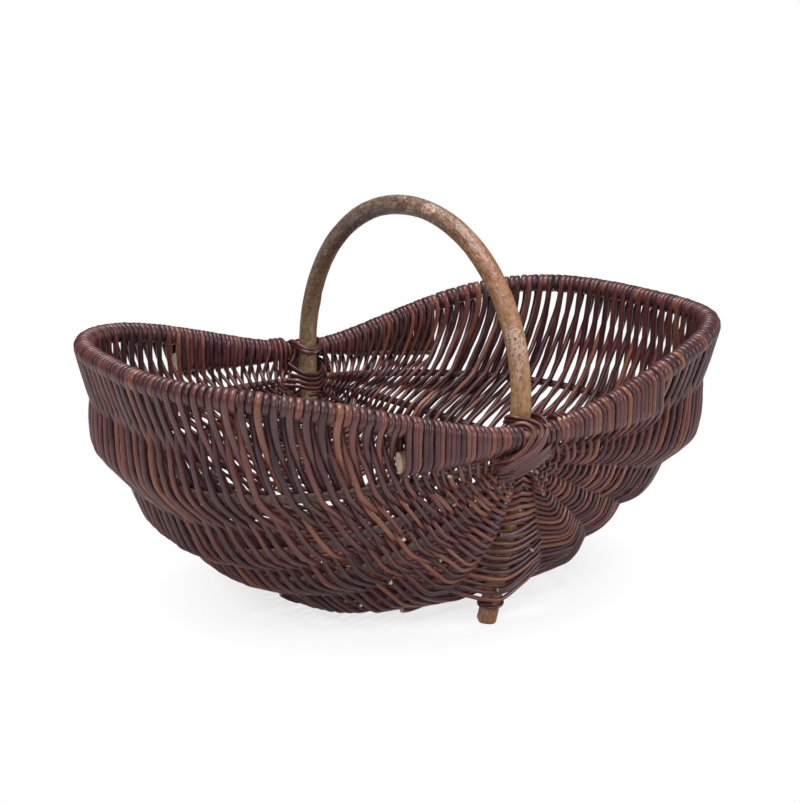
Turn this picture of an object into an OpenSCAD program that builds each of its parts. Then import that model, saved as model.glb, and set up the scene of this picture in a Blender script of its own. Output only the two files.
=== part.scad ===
// Trug garden basket: a frame basket of bent rods, woven from ear to ear.
// The handle hoop crosses the rim hoop at two ears. Ribs spring from one ear, pass
// round under the basket and end at the other. Weavers run across the ribs.
// Millimetres, +X along the basket, +Y to the back, +Z up, floor at z = 0.

/* [Rim] */
// Length of the basket over the wrapped rim
basket_length = 599; // [520:1:680]
// Width of the basket over the wrapped rim at the ears
basket_width = 417; // [340:1:480]
// Squareness of the rim's plan, where 2 is an ellipse
rim_squareness = 2.93; // [2.2:0.01:3.6]
// Height of the rim's centre line at the ears
rim_ear_z = 182.4; // [160:0.1:210]
// Height of the rim's centre line at the left end
rim_left_z = 234.3; // [200:0.1:270]
// Height of the rim's centre line at the right end
rim_right_z = 242.7; // [200:0.1:270]
// How soon the rim rises from the ears, lower is sooner
rim_rise = 0.86; // [0.6:0.01:1.4]
// Diameter of the rim rod
rim_rod_d = 11.6; // [9:0.1:13]
// Thickness of the wrapping on the rim
wrap_t = 3.8; // [2.5:0.1:5]

/* [Handle] */
// Height of the basket over the top of the handle
basket_height = 362; // [320:1:420]
// Diameter of the handle rod
handle_d = 18; // [14:0.1:20]
// Gap between the front of the handle and the wrapped rim at each ear
handle_gap = 3.1; // [3:0.1:12]
// Height where the bow begins above the legs
bow_start_z = 197.6; // [190:0.1:215]
// Extra reach of the back leg
back_reach = 2.6; // [0:0.1:2.8]
// Distance of each foot from the middle
foot_reach = 145; // [135:0.5:160]
// How late the legs turn inward, higher is later
leg_curve = 1.6; // [1.2:0.05:2.2]
// Sideways place of the handle and the ribs under the middle of the rim
foot_shift = -2; // [-5:0.5:4]
// Lean of the handle along the basket in degrees
handle_lean = 2.1; // [0:0.1:4]
// Turn of the handle in plan in degrees
handle_turn = 2; // [0:0.1:3]

/* [Side rods] */
// Diameter of the short rods below the rim at the ears
side_rod_d = 11.6; // [9:0.1:13]
// Half length of the short rods
side_rod_reach = 109; // [80:1:130]
// Length of each cut end that shows beyond the wrapping
side_rod_show = 7; // [3:0.5:12]
// Drop from the rim rod to the short rod at the ears
side_rod_drop = 16; // [12:0.5:20]
// Share of the rim's rise that the short rods follow
side_rod_follow = 0.55; // [0.3:0.05:0.8]

/* [Ribs] */
// Diameter of the ribs
rib_d = 8; // [6:0.1:10]
// Diameter of the ribs' pointed tips
rib_tip_d = 3.2; // [2:0.1:4]
// Length of each pointed tip
rib_tip_length = 60; // [30:1:90]
// Distance of the rib tips from the middle of the ear
rib_start = 13; // [12:0.5:16]
// Distance of the rib tips inward from the rim rod at the ears
rib_tip_inset = 15.9; // [12:0.1:24]
// Height of the rib tips at the ear, from the top rib down
rib_tip_z = [157, 151.5, 146, 140.5]; // [120:0.5:160]
// Inset of the left ribs from the rim's left end
left_inset = [17.5, 57, 100.5, 166]; // [10:0.5:180]
// Height of the left ribs at the end of the basket, top three
left_z = [144.5, 79, 44.5]; // [30:0.5:170]
// Inset of the right ribs from the rim's right end
right_inset = [22, 80, 118, 164.5]; // [10:0.5:180]
// Height of the right ribs at the end of the basket, top three
right_z = [135, 78, 48]; // [30:0.5:170]

/* [Weave] */
// Thickness of one weaver
weaver_d = 4.6; // [3.5:0.1:5.5]
// Half thickness of the weave between two ribs
weave_edge = 4; // [2.5:0.1:5]
// Half thickness of the weave under the belly
weave_half = 2.8; // [2.5:0.1:4]
// Height of the lowest weaver on the legs
weave_low_z = 26; // [22:0.5:34]
// Height of the belly's middle over the floor
belly_z = 8; // [6:0.5:14]
// Distance of the belly's first weavers from the middle
belly_reach = 137; // [124:1:138]

// Number of slots along each open strip, standing in for the gaps between weavers
slots = 12; // [8:1:12]
// Length of a slot, as a share of the closed length beside it
slot_share = 0.7; // [0.4:0.05:0.9]

/* [Bindings] */
// Thickness of the strand bound round each foot
binding_d = 5; // [4:0.1:6]
// Height of the binding on each foot
binding_z = 19; // [14:0.5:24]
// Thickness of the strands lashed over each ear
lash_d = 5; // [4:0.1:6]
// Spread of the lashing along the rim at each ear
lash_spread = 17; // [14:0.5:24]

/* [Hidden] */
// Clearance between a binding and the rod that it holds
seat = 0.2;
// Share of the whole run, from ear to ear, where the weavers cross the legs
leg_share = 0.255;
// Bends of the ribs, as powers for the run along x, z and y
left_bend = [[0.66, 0.70, 0.68], [0.76, 0.80, 0.86], [0.88, 0.78, 0.85], [1.00, 0.63, 0.91]];
right_bend = [[0.66, 0.70, 0.68], [0.76, 0.80, 0.80], [0.88, 0.78, 0.91], [0.99, 0.83, 0.98]];
stations = 2*slots + 1;
rib_sides = 6;
handle_sides = 12;
wrap_r = rim_rod_d/2 + wrap_t;
half_l = basket_length/2 - wrap_r;
half_w = basket_width/2 - wrap_r;
handle_r = handle_d/2;
handle_reach = half_w - wrap_r - handle_r - handle_gap;
ear_reach = half_w - rib_tip_inset;
bow_top = basket_height - handle_r;
rib_r = rib_d/2;
// The lowest rib on each side stands on the floor through one weaver
keel_z = rib_r + weaver_d;
lean_mid_z = 187;

// Small vector helpers
function unit(v) = v/max(norm(v), 1e-9);
function spow(v, p) = sign(v)*pow(abs(v), p);
function mix(a, b, t) = a + (b - a)*t;
function clamp(v, lo, hi) = min(max(v, lo), hi);

// Length run up to each point of a path
function run(p, i = 1, out = [0]) =
    i >= len(p) ? out : run(p, i + 1, concat(out, [out[i - 1] + norm(p[i] - p[i - 1])]));

// The points of a path at even shares of its length
function at_shares(p, ts) =
    let (s = run(p), whole = s[len(s) - 1],
        tx = [for (i = [0:len(p) - 1]) [s[i], p[i][0]]],
        ty = [for (i = [0:len(p) - 1]) [s[i], p[i][1]]],
        tz = [for (i = [0:len(p) - 1]) [s[i], p[i][2]]])
    [for (t = ts) [lookup(t*whole, tx), lookup(t*whole, ty), lookup(t*whole, tz)]];

// Direction of a path at each point
function heading(p, closed = false) =
    let (n = len(p))
    [for (i = [0:n - 1])
        unit(closed ? p[(i + 1)%n] - p[(i + n - 1)%n] : p[min(i + 1, n - 1)] - p[max(i - 1, 0)])];

// Skin over rings of points, with a flat face at each end unless it is a loop
module skin(rings, closed = false) {
    n = len(rings[0]);
    m = len(rings);
    spans = closed ? m : m - 1;
    sides = [for (i = [0:spans - 1], j = [0:n - 1])
        let (a = i*n + j, b = i*n + (j + 1)%n, c = ((i + 1)%m)*n + j, d = ((i + 1)%m)*n + (j + 1)%n)
        each [[a, b, d], [a, d, c]]];
    ends = closed ? [] : [[for (j = [n - 1:-1:0]) j], [for (j = [0:n - 1]) (m - 1)*n + j]];
    polyhedron(points = [for (r = rings) each r], faces = concat(sides, ends), convexity = 8);
}

// The same skin with slots cut through it. Each slot lies over one span of the run,
// between ring points a and a + 1 on the outside and b and b + 1 on the inside.
module slotted_skin(rings, a, b, spans) {
    n = len(rings[0]);
    m = len(rings);
    function cut(i) = len([for (k = spans) if (k == i) k]) > 0;
    function quad(p, q, r, s) = [[p, q, r], [p, r, s]];
    sides = [for (i = [0:m - 2], j = [0:n - 1]) if (!(cut(i) && (j == a || j == b)))
        let (p = i*n + j, q = i*n + (j + 1)%n) each quad(p, q, q + n, p + n)];
    walls = [for (i = spans) let (p = i*n + a, q = i*n + b) each concat(
        quad(p + n, p, q + 1, q + 1 + n), quad(p + 1, p + 1 + n, q + n, q),
        quad(p, p + 1, q, q + 1), quad(p + n, q + 1 + n, q + n, p + 1 + n))];
    ends = [[for (j = [n - 1:-1:0]) j], [for (j = [0:n - 1]) (m - 1)*n + j]];
    polyhedron(points = [for (r = rings) each r], faces = concat(sides, walls, ends), convexity = 10);
}

// Ring of a round rod, across frame vectors u and v
function ring(c, u, v, r, sides) =
    [for (k = [0:sides - 1]) let (a = 360*k/sides) c + r*(cos(a)*u - sin(a)*v)];

// Wall between an outer and an inner ring of the same count, swept along a path
module sleeve(outer, inner) {
    n = len(outer[0]);
    m = len(outer);
    pts = concat([for (r = outer) each r], [for (r = inner) each r]);
    k = n*m;
    body = [for (i = [0:m - 2], j = [0:n - 1])
        let (a = i*n + j, b = i*n + (j + 1)%n, c = a + n, d = b + n)
        each [[a, b, d], [a, d, c], [k + a, k + d, k + b], [k + a, k + c, k + d]]];
    e = (m - 1)*n;
    rims = [for (j = [0:n - 1])
        let (j2 = (j + 1)%n)
        each [[j, k + j2, j2], [j, k + j, k + j2], [e + j, e + j2, k + e + j2], [e + j, k + e + j2, k + e + j]]];
    polyhedron(points = pts, faces = concat(body, rims), convexity = 8);
}

// Rim centre line, from the front ear round one end to the back ear
function rim_z(x, side) =
    mix(rim_ear_z, side < 0 ? rim_left_z : rim_right_z,
        0.5 - 0.5*cos(180*pow(clamp(abs(x)/half_l, 0, 1), rim_rise)));
function rim_at(a, side) =
    let (x = half_l*pow(abs(sin(a)), 2/rim_squareness))
    [side*x, -half_w*spow(cos(a), 2/rim_squareness), rim_z(x, side)];
function rim_half(side, step = 1.5) = [for (a = [0:step:180]) rim_at(a, side)];
function rim_loop(n) =
    concat(at_shares(rim_half(-1), [for (i = [0:n/2 - 1]) i/(n/2)]),
        at_shares(rim_half(1), [for (i = [0:n/2 - 1]) 1 - i/(n/2)]));

// Outward direction of the rim at each point of a path along it
function rim_out(p, dirs) = [for (i = [0:len(p) - 1]) unit([p[i][0], p[i][1], 0]
    - dirs[i]*(dirs[i]*[p[i][0], p[i][1], 0]))];

// Handle centre line, leaned along the basket and turned in plan
function set_handle(p) =
    let (x = tan(handle_lean)*(p[2] - lean_mid_z), c = cos(handle_turn), s = sin(handle_turn))
    [foot_shift + x*c - p[1]*s, x*s + p[1]*c, p[2]];
function leg_y(z, back) =
    let (reach = handle_reach + (back > 0 ? back_reach : 0))
    back*(reach - (reach - foot_reach)*pow(clamp(1 - z/bow_start_z, 0, 1), leg_curve));
function leg_at(z, back) = set_handle([0, leg_y(z, back), z]);
function bow_at(a) =
    set_handle([0, -spow(cos(a), 0.98)*(handle_reach + (a > 90 ? back_reach : 0)),
        bow_start_z + (bow_top - bow_start_z)*pow(sin(a), 0.98)]);
function handle_path() = concat(
    [for (i = [0:6]) leg_at(bow_start_z*i/7, -1)],
    [for (a = [0:7.5:180]) bow_at(a)],
    [for (i = [6:-1:0]) leg_at(bow_start_z*i/7, 1)]);

// Longitudes 0 to 4 run down the left: rim, then ribs 1 to 4. 5 is the leg and keel.
// 6 to 10 climb the right: ribs 4 to 1, then the rim.
function rib_at(a, i, side) =
    let (bend = side < 0 ? left_bend[i] : right_bend[i],
        inset = side < 0 ? left_inset[i] : right_inset[i],
        z_end = i == 3 ? keel_z : (side < 0 ? left_z[i] : right_z[i]),
        s = sin(a), y = -ear_reach*spow(cos(a), bend[2]))
    [foot_shift + side*(rib_start + (half_l - inset - rib_start)*pow(s, bend[0])) - y*tan(handle_turn),
        y, rib_tip_z[i] - (rib_tip_z[i] - z_end)*pow(s, bend[1])];
function rib_path(i, side) = [for (a = [0:1.5:180]) rib_at(min(max(a, 0.001), 179.999), i, side)];
function keel_at(t) =
    t < leg_share ? leg_at(mix(rib_tip_z[0], weave_low_z, t/leg_share), -1) :
    t > 1 - leg_share ? leg_at(mix(rib_tip_z[0], weave_low_z, (1 - t)/leg_share), 1) :
    let (v = (t - 0.5)/(0.5 - leg_share))
    [foot_shift, belly_reach*v, belly_z + (weave_low_z - belly_z)*pow(abs(v), 4)];
function side_of(i) = i < 5 ? -1 : 1;
function rib_no(i) = i < 5 ? i - 1 : 9 - i;
function is_rim(i) = i == 0 || i == 10;
function longitude(i, ts) =
    i == 5 ? [for (t = ts) keel_at(t)] :
    is_rim(i) ? at_shares(rim_half(side_of(i)), ts) :
    at_shares(rib_path(rib_no(i), side_of(i)), ts);

// The short rods follow part of the rim's rise, below it
function side_rod_at(x, back) =
    let (s = x < 0 ? -1 : 1, u = abs(x)/half_l,
        y = back*half_w*pow(max(1 - pow(u, rim_squareness), 0), 1/rim_squareness),
        rise = rim_z(x, s) - rim_ear_z)
    [x, y, rim_ear_z + rise*side_rod_follow - side_rod_drop];
function side_rod_path(back, reach, n) = [for (i = [0:n]) side_rod_at(mix(-reach, reach, i/n), back)];
function rim_over(x, back) =
    let (q = side_rod_at(x, back)) [q[0], q[1], rim_z(x, x < 0 ? -1 : 1)];

// Radius of what runs along a longitude, thin at the rib tips
function rod_r(i, t, length = 600) =
    i == 5 ? handle_r :
    let (near = min(t, 1 - t)*length)
    mix(rib_tip_d/2, rib_r, clamp(near/rib_tip_length, 0, 1));

// Top edge of the weave: the rim, or the short rod where it runs below the rim
function top_edge(i, ts) =
    let (rim = longitude(i, ts))
    [for (p = rim) abs(p[0]) < side_rod_reach - side_rod_show + 3
        ? side_rod_at(p[0], sign(p[1])) : p];
function line_of(i, ts) = is_rim(i) ? top_edge(i, ts) : longitude(i, ts);

// Outward direction of the basket's skin on longitude i
function outward(i, ts) =
    let (d = 0.004,
        a = longitude(i, [for (t = ts) clamp(t - d, 0, 1)]),
        b = longitude(i, [for (t = ts) clamp(t + d, 0, 1)]),
        p = longitude(max(i - 1, 0), ts), q = longitude(min(i + 1, 10), ts))
    [for (k = [0:len(ts) - 1]) unit(cross(b[k] - a[k], q[k] - p[k]))];

// One strip of weave between longitudes i and i + 1. It laps over both rods by one
// weaver outside and inside, and thins between them, where the slots are.
module weave_strip(i, ts, spans = []) {
    j = i + 1;
    pa = line_of(i, ts);
    pb = line_of(j, ts);
    na = outward(i, ts);
    nb = outward(j, ts);
    rings = [for (k = [0:len(ts) - 1])
        let (a = pa[k], b = pb[k], ua = na[k], ub = nb[k],
            across = unit(b - a), um = unit(ua + ub)*weave_edge,
            sa = unit(across - ua*(across*ua)), sb = unit(across - ub*(across*ub)),
            ra = rod_r(i, ts[k]), rb = rod_r(j, ts[k]),
            la = is_rim(i) ? wrap_r*cos(38) : ra, lb = is_rim(j) ? wrap_r*cos(38) : rb,
            free = max(norm(b - a) - la - lb, 1.5),
            ea = a + across*(la + free*0.3), eb = a + across*(la + free*0.7))
        concat(
            is_rim(i) ? [a + wrap_r*(cos(38)*across + sin(38)*ua)] :
                [a - ua*ra, a + ra*(0.866*sa - 0.5*ua), a + ra*(0.866*sa + 0.5*ua), a + ua*ra, a + ua*(ra + weaver_d)],
            [ea + um, eb + um],
            is_rim(j) ? [b + wrap_r*(-cos(38)*across + sin(38)*ub), b + wrap_r*(-cos(38)*across - sin(38)*ub)] :
                [b + ub*(rb + weaver_d), b + ub*rb, b + rb*(0.5*ub - 0.866*sb),
                    b - rb*(0.5*ub + 0.866*sb), b - ub*rb, b - ub*(rb + weaver_d)],
            [eb - um, ea - um],
            is_rim(i) ? [a + wrap_r*(cos(38)*across - sin(38)*ua)] : [a - ua*(ra + weaver_d)]
        )];
    first = is_rim(i) ? 1 : 5;
    slotted_skin(rings, first, first + (is_rim(j) ? 4 : 8), spans);
}

// The belly has no rod in its middle, so it is one strip between the lowest ribs
module belly_strip(ts) {
    pa = longitude(4, ts);
    pm = longitude(5, ts);
    pb = longitude(6, ts);
    na = outward(4, ts);
    nb = outward(6, ts);
    w = weave_half;
    rings = [for (k = [0:len(ts) - 1])
        let (a = pa[k], b = pb[k], m = pm[k], ua = na[k], ub = nb[k], across = unit(b - a),
            um = unit(ua + ub), sa = unit(across - ua*(across*ua)), sb = unit(across - ub*(across*ub)),
            c = mix((a + b)/2, m, 0.95), qa = mix(a, b, 0.25), qb = mix(a, b, 0.75),
            sag = (c - (a + b)/2)*0.75, r = rod_r(4, ts[k]))
        [a - ua*r, a + r*(0.866*sa - 0.5*ua), a + r*(0.866*sa + 0.5*ua), a + ua*r, a + ua*(r + weaver_d),
            qa + sag + um*w, c + um*w, qb + sag + um*w,
            b + ub*(r + weaver_d), b + ub*r, b + r*(0.5*ub - 0.866*sb), b - r*(0.5*ub + 0.866*sb), b - ub*r, b - ub*(r + weaver_d),
            qb + sag - um*w, c - um*w, qa + sag - um*w, a - ua*(r + weaver_d)]];
    skin(rings);
}

function even(n, lo = 0, hi = 1) = [for (i = [0:n]) mix(lo, hi, i/n)];
// Shares of the run where closed spans and slots take turns
function stops(k = 0) = let (s = 1/(slots + 1 + slots*slot_share))
    [for (k = [0:stations]) min(1, (floor((k + 1)/2) + floor(k/2)*slot_share)*s)];
open_spans = [for (k = [3:2:stations - 3]) k];
// Below the rim they start beyond the short rods
rim_spans = [for (k = [5:2:stations - 5]) k];

// A rib, drawn down to a pointed tip at each ear
module rib(i) {
    ts = stops();
    p = longitude(i, ts);
    n = outward(i, ts);
    dirs = heading(p);
    skin([for (k = [0:stations]) let (u = unit(n[k] - dirs[k]*(n[k]*dirs[k])))
        ring(p[k], u, cross(dirs[k], u), rod_r(i, ts[k]), rib_sides)]);
}

module handle_rod() {
    p = handle_path();
    dirs = heading(p);
    last = len(p) - 1;
    side = set_handle([0, 0, lean_mid_z]) - set_handle([0, 1, lean_mid_z]);
    flat = [cos(handle_turn), sin(handle_turn), 0];
    skin([for (k = [0:last])
        let (d = k == 0 ? [0, 0, 1] : k == last ? [0, 0, -1] : dirs[k],
            v = unit(flat - d*(flat*d)))
        ring(p[k], cross(v, d), v, handle_r, handle_sides)]);
}

module hoop_rod() {
    p = rim_loop(56);
    dirs = heading(p, true);
    out = rim_out(p, dirs);
    skin([for (k = [0:len(p) - 1]) ring(p[k], out[k], cross(dirs[k], out[k]), rim_rod_d/2, 8)], true);
}

// Wrapping along one end of the rim, between the ear bands
module end_wrap(side) {
    reach = side_rod_reach - side_rod_show;
    all = at_shares(rim_half(side), even(60));
    keep = [for (p = all) if (abs(p[0]) > reach) p];
    p = concat([rim_over(side*reach, -1)], [for (i = [1:2:len(keep) - 2]) keep[i]], [rim_over(side*reach, 1)]);
    dirs = heading(p);
    out = rim_out(p, dirs);
    sleeve([for (k = [0:len(p) - 1]) ring(p[k], out[k], cross(dirs[k], out[k]), wrap_r, 10)],
        [for (k = [0:len(p) - 1]) ring(p[k], out[k], cross(dirs[k], out[k]), rim_rod_d/2, 10)]);
}

// Tall band round the rim rod and the short rod below it
module ear_band(back) {
    reach = side_rod_reach - side_rod_show;
    n = 10;
    xs = [for (i = [0:n]) mix(-reach, reach, i/n)];
    lo = [for (x = xs) side_rod_at(x, back)];
    hi = [for (x = xs) rim_over(x, back)];
    dirs = heading(lo);
    function oval(k, ru, rl) =
        let (d = dirs[k], v = unit([0, 0, 1] - d*d[2]), u = cross(d, v))
        concat([for (a = [0:36:180]) hi[k] + ru*(cos(a)*u + sin(a)*v)],
            [for (a = [180:36:360]) lo[k] + rl*(cos(a)*u + sin(a)*v)]);
    sleeve([for (k = [0:n]) oval(k, wrap_r, side_rod_d/2 + wrap_t)],
        [for (k = [0:n]) oval(k, rim_rod_d/2, side_rod_d/2)]);
}

module side_rod(back) {
    p = side_rod_path(back, side_rod_reach, 10);
    dirs = heading(p);
    skin([for (k = [0:10]) let (d = dirs[k], v = unit([0, 0, 1] - d*d[2]))
        ring(p[k], cross(v, d), v, side_rod_d/2, 10)]);
}

// Two strands lashed crosswise round the rim band and the handle
module ear_lashing(back) {
    c = leg_at(rim_ear_z, back);
    r = lash_d/2;
    front = half_w + wrap_r + r + seat;
    inner = abs(c[1]) - handle_r - r - seat;
    mid = (front + inner)/2;
    depth = (front - inner)/2;
    z_mid = rim_ear_z - side_rod_drop/2;
    z_half = side_rod_drop/2 + wrap_r + r + 1;
    for (way = [-1, 1]) {
        depth_w = depth + (way > 0 ? lash_d + seat : 0);
        path = [for (i = [0:19]) let (a = 18*i)
            [c[0] + way*lash_spread*spow(sin(a), 0.7), back*(mid + depth_w*spow(cos(a), 0.6)),
                z_mid + (z_half + (way > 0 ? lash_d : 0))*spow(sin(a), 0.7)]];
        dirs = heading(path, true);
        skin([for (k = [0:19]) let (d = dirs[k], w = unit([way, 0, -0.6]), u = unit(w - d*(w*d)))
            ring(path[k], u, cross(d, u), r, 6)], true);
    }
}

// One strand bound round a leg below the weave
module foot_binding(back) {
    p = leg_at(binding_z, back);
    q = leg_at(binding_z + 1, back);
    d = q - p;
    tilt_x = -atan2(d[1], d[2]);
    tilt_y = atan2(d[0], d[2]);
    translate(p) rotate([tilt_x, tilt_y, 0])
        rotate_extrude($fn = 48) translate([handle_r + seat + binding_d/2, 0]) circle(d = binding_d, $fn = 24);
}

module handle_bow() { color([0.55, 0.42, 0.27]) handle_rod(); }
module rim_hoop() { color([0.78, 0.66, 0.46]) hoop_rod(); }
module side_rod_front() { color([0.80, 0.70, 0.52]) side_rod(-1); }
module side_rod_back() { color([0.80, 0.70, 0.52]) side_rod(1); }
module rib_left_1() { color([0.80, 0.62, 0.40]) rib(1); }
module rib_left_2() { color([0.80, 0.62, 0.40]) rib(2); }
module rib_left_3() { color([0.80, 0.62, 0.40]) rib(3); }
module rib_left_4() { color([0.80, 0.62, 0.40]) rib(4); }
module rib_right_4() { color([0.80, 0.62, 0.40]) rib(6); }
module rib_right_3() { color([0.80, 0.62, 0.40]) rib(7); }
module rib_right_2() { color([0.80, 0.62, 0.40]) rib(8); }
module rib_right_1() { color([0.80, 0.62, 0.40]) rib(9); }
module rim_wrap_left() { color([0.42, 0.20, 0.17]) end_wrap(-1); }
module rim_wrap_right() { color([0.42, 0.20, 0.17]) end_wrap(1); }
module ear_wrap_front() { color([0.47, 0.24, 0.20]) ear_band(-1); }
module ear_wrap_back() { color([0.47, 0.24, 0.20]) ear_band(1); }
module ear_lashing_front() { color([0.52, 0.30, 0.24]) ear_lashing(-1); }
module ear_lashing_back() { color([0.52, 0.30, 0.24]) ear_lashing(1); }
module foot_binding_front() { color([0.45, 0.25, 0.20]) foot_binding(-1); }
module foot_binding_back() { color([0.45, 0.25, 0.20]) foot_binding(1); }
module weave_left_1() { color([0.35, 0.16, 0.15]) weave_strip(0, stops(), rim_spans); }
module weave_left_2() { color([0.38, 0.18, 0.16]) weave_strip(1, stops(), open_spans); }
module weave_left_3() { color([0.35, 0.16, 0.15]) weave_strip(2, stops(), open_spans); }
module weave_left_4() { color([0.38, 0.18, 0.16]) weave_strip(3, stops()); }
module weave_right_4() { color([0.38, 0.18, 0.16]) weave_strip(6, stops()); }
module weave_right_3() { color([0.35, 0.16, 0.15]) weave_strip(7, stops(), open_spans); }
module weave_right_2() { color([0.38, 0.18, 0.16]) weave_strip(8, stops(), open_spans); }
module weave_right_1() { color([0.35, 0.16, 0.15]) weave_strip(9, stops(), rim_spans); }
module weave_front_left() { color([0.33, 0.15, 0.14]) weave_strip(4, even(6, 0, leg_share - 0.001)); }
module weave_front_right() { color([0.33, 0.15, 0.14]) weave_strip(5, even(6, 0, leg_share - 0.001)); }
module weave_back_left() { color([0.33, 0.15, 0.14]) weave_strip(4, even(6, 1 - leg_share + 0.001, 1)); }
module weave_back_right() { color([0.33, 0.15, 0.14]) weave_strip(5, even(6, 1 - leg_share + 0.001, 1)); }
module weave_belly() { color([0.33, 0.15, 0.14]) belly_strip(even(12, leg_share, 1 - leg_share)); }

handle_bow();
rim_hoop();
side_rod_front();
side_rod_back();
rib_left_1();
rib_left_2();
rib_left_3();
rib_left_4();
rib_right_1();
rib_right_2();
rib_right_3();
rib_right_4();
rim_wrap_left();
rim_wrap_right();
ear_wrap_front();
ear_wrap_back();
ear_lashing_front();
ear_lashing_back();
foot_binding_front();
foot_binding_back();
weave_left_1();
weave_left_2();
weave_left_3();
weave_left_4();
weave_right_1();
weave_right_2();
weave_right_3();
weave_right_4();
weave_front_left();
weave_front_right();
weave_back_left();
weave_back_right();
weave_belly();
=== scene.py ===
"""Looks of the trug garden basket. Every rod and every weaver is a strand of its own,
run along the same lines as the solids. Lengths are millimetres until a mesh is made."""

import math

import bpy
import numpy as np
from mathutils import Matrix, Vector


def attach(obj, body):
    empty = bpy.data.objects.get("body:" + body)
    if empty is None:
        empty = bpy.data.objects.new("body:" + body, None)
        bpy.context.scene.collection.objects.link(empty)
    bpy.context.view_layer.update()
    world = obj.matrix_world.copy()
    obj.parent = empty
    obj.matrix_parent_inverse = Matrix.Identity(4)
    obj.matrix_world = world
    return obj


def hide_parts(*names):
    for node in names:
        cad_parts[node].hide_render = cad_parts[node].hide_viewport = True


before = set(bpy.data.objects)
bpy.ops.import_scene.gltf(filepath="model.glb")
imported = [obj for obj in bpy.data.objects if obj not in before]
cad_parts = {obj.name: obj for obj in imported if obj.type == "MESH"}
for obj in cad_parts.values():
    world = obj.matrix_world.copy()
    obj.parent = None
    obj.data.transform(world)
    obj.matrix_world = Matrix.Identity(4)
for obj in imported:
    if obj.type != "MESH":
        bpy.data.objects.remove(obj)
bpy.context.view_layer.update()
rng = np.random.default_rng(7)

# ---------------------------------------------------------------- dimensions
METRE = 0.001

# Rim
BASKET_LENGTH, BASKET_WIDTH, BASKET_HEIGHT = 599.0, 417.0, 362.0
RIM_SQUARENESS, RIM_RISE = 2.93, 0.86
RIM_EAR_Z, RIM_LEFT_Z, RIM_RIGHT_Z = 182.4, 234.3, 242.7
RIM_R, WRAP_T = 5.8, 3.8
WRAP_R = RIM_R + WRAP_T
HALF_L = BASKET_LENGTH / 2 - WRAP_R
HALF_W = BASKET_WIDTH / 2 - WRAP_R

# Handle
HANDLE_R, HANDLE_GAP, BACK_REACH = 9.0, 3.1, 2.6
HANDLE_REACH = HALF_W - WRAP_R - HANDLE_R - HANDLE_GAP
BOW_START_Z, BOW_TOP = 197.6, BASKET_HEIGHT - HANDLE_R
FOOT_REACH, LEG_CURVE, FOOT_SHIFT = 145.0, 1.6, -2.0
LEAN, TURN, LEAN_MID_Z = math.radians(2.1), math.radians(2.0), 187.0

# Short rods below the rim beside the ears, given for the left and the right
SHORT_REACH = {-1: (125.0, 145.0), 1: (152.0, 150.0)}
BAND_SLOPE = {-1: (0.33, 0.23), 1: (0.225, 0.38)}
BAND_START, SHORT_SHOW = 26.0, 1.5
SHORT_TALL, SHORT_WIDE = 8.8, 6.4

# Ribs, from the top rib down on each side
RIB_R, RIB_TIP_R, RIB_TIP_LENGTH = 4.0, 1.6, 60.0
RIB_START, EAR_REACH = 13.0, HALF_W - 15.9
RIB_TIP_Z = (157.0, 151.5, 146.0, 140.5)
KEEL_Z = RIB_R + 4.6
RIB_INSET = {-1: (17.5, 57.0, 100.5, 166.0), 1: (22.0, 80.0, 118.0, 164.5)}
RIB_Z = {-1: (144.5, 79.0, 44.5, KEEL_Z), 1: (135.0, 78.0, 48.0, KEEL_Z)}
RIB_BEND = {
    -1: ((0.66, 0.70, 0.68), (0.76, 0.80, 0.86), (0.88, 0.78, 0.85), (1.00, 0.63, 0.91)),
    1: ((0.66, 0.70, 0.68), (0.76, 0.80, 0.80), (0.88, 0.78, 0.91), (0.99, 0.83, 0.98)),
}

# Weave
WEAVER_R = 2.65
LEAN_OF_ROWS = (0.042, 0.065)
# How far rows beside the legs keep to even heights, from the rim down to rib 4
LEVEL_ROWS = (0, 0, 0.25, 0.6, 0.95)
PITCH_EAR, PITCH_FRONT, PITCH_BACK = 5.0, 6.2, 6.4
EAR_GAP = 10.0
WEAVE_LOW_Z, BELLY_Z, BELLY_REACH, LEG_SHARE = 26.0, 8.0, 137.0, 0.255
STRAND_SIDES = 8
STEP = 3.0
FLOOR_GAP = 0.03
BINDING_Z = 19.0

# Longitudes 0 to 4 run down the left: rim, then ribs 1 to 4. 5 is the leg and keel.
# 6 to 10 climb the right: ribs 4 to 1, then the rim.
LEG, LAST = 5, 10
GRID = np.linspace(0, 1, 1041)
Z_UP = np.array([0.0, 0.0, 1.0])


# ---------------------------------------------------------------- small helpers
def unit(v):
    return v / np.maximum(np.linalg.norm(v, axis=-1, keepdims=True), 1e-9)


def spow(v, p):
    return np.sign(v) * np.abs(v) ** p


def mix(a, b, t):
    return a + (b - a) * t


def smooth(t):
    t = np.clip(t, 0, 1)
    return t * t * (3 - 2 * t)


def dot(a, b):
    return np.sum(a * b, axis=-1, keepdims=True)


def run_of(points):
    return np.concatenate([[0], np.cumsum(np.linalg.norm(np.diff(points, axis=0), axis=1))])


def resample(points, shares):
    run = run_of(points)
    return np.stack([np.interp(shares * run[-1], run, points[:, i]) for i in range(3)], -1)


def evenly(points, step):
    count = max(3, int(round(run_of(points)[-1] / step)) + 1)
    return np.linspace(0, 1, count)


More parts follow.
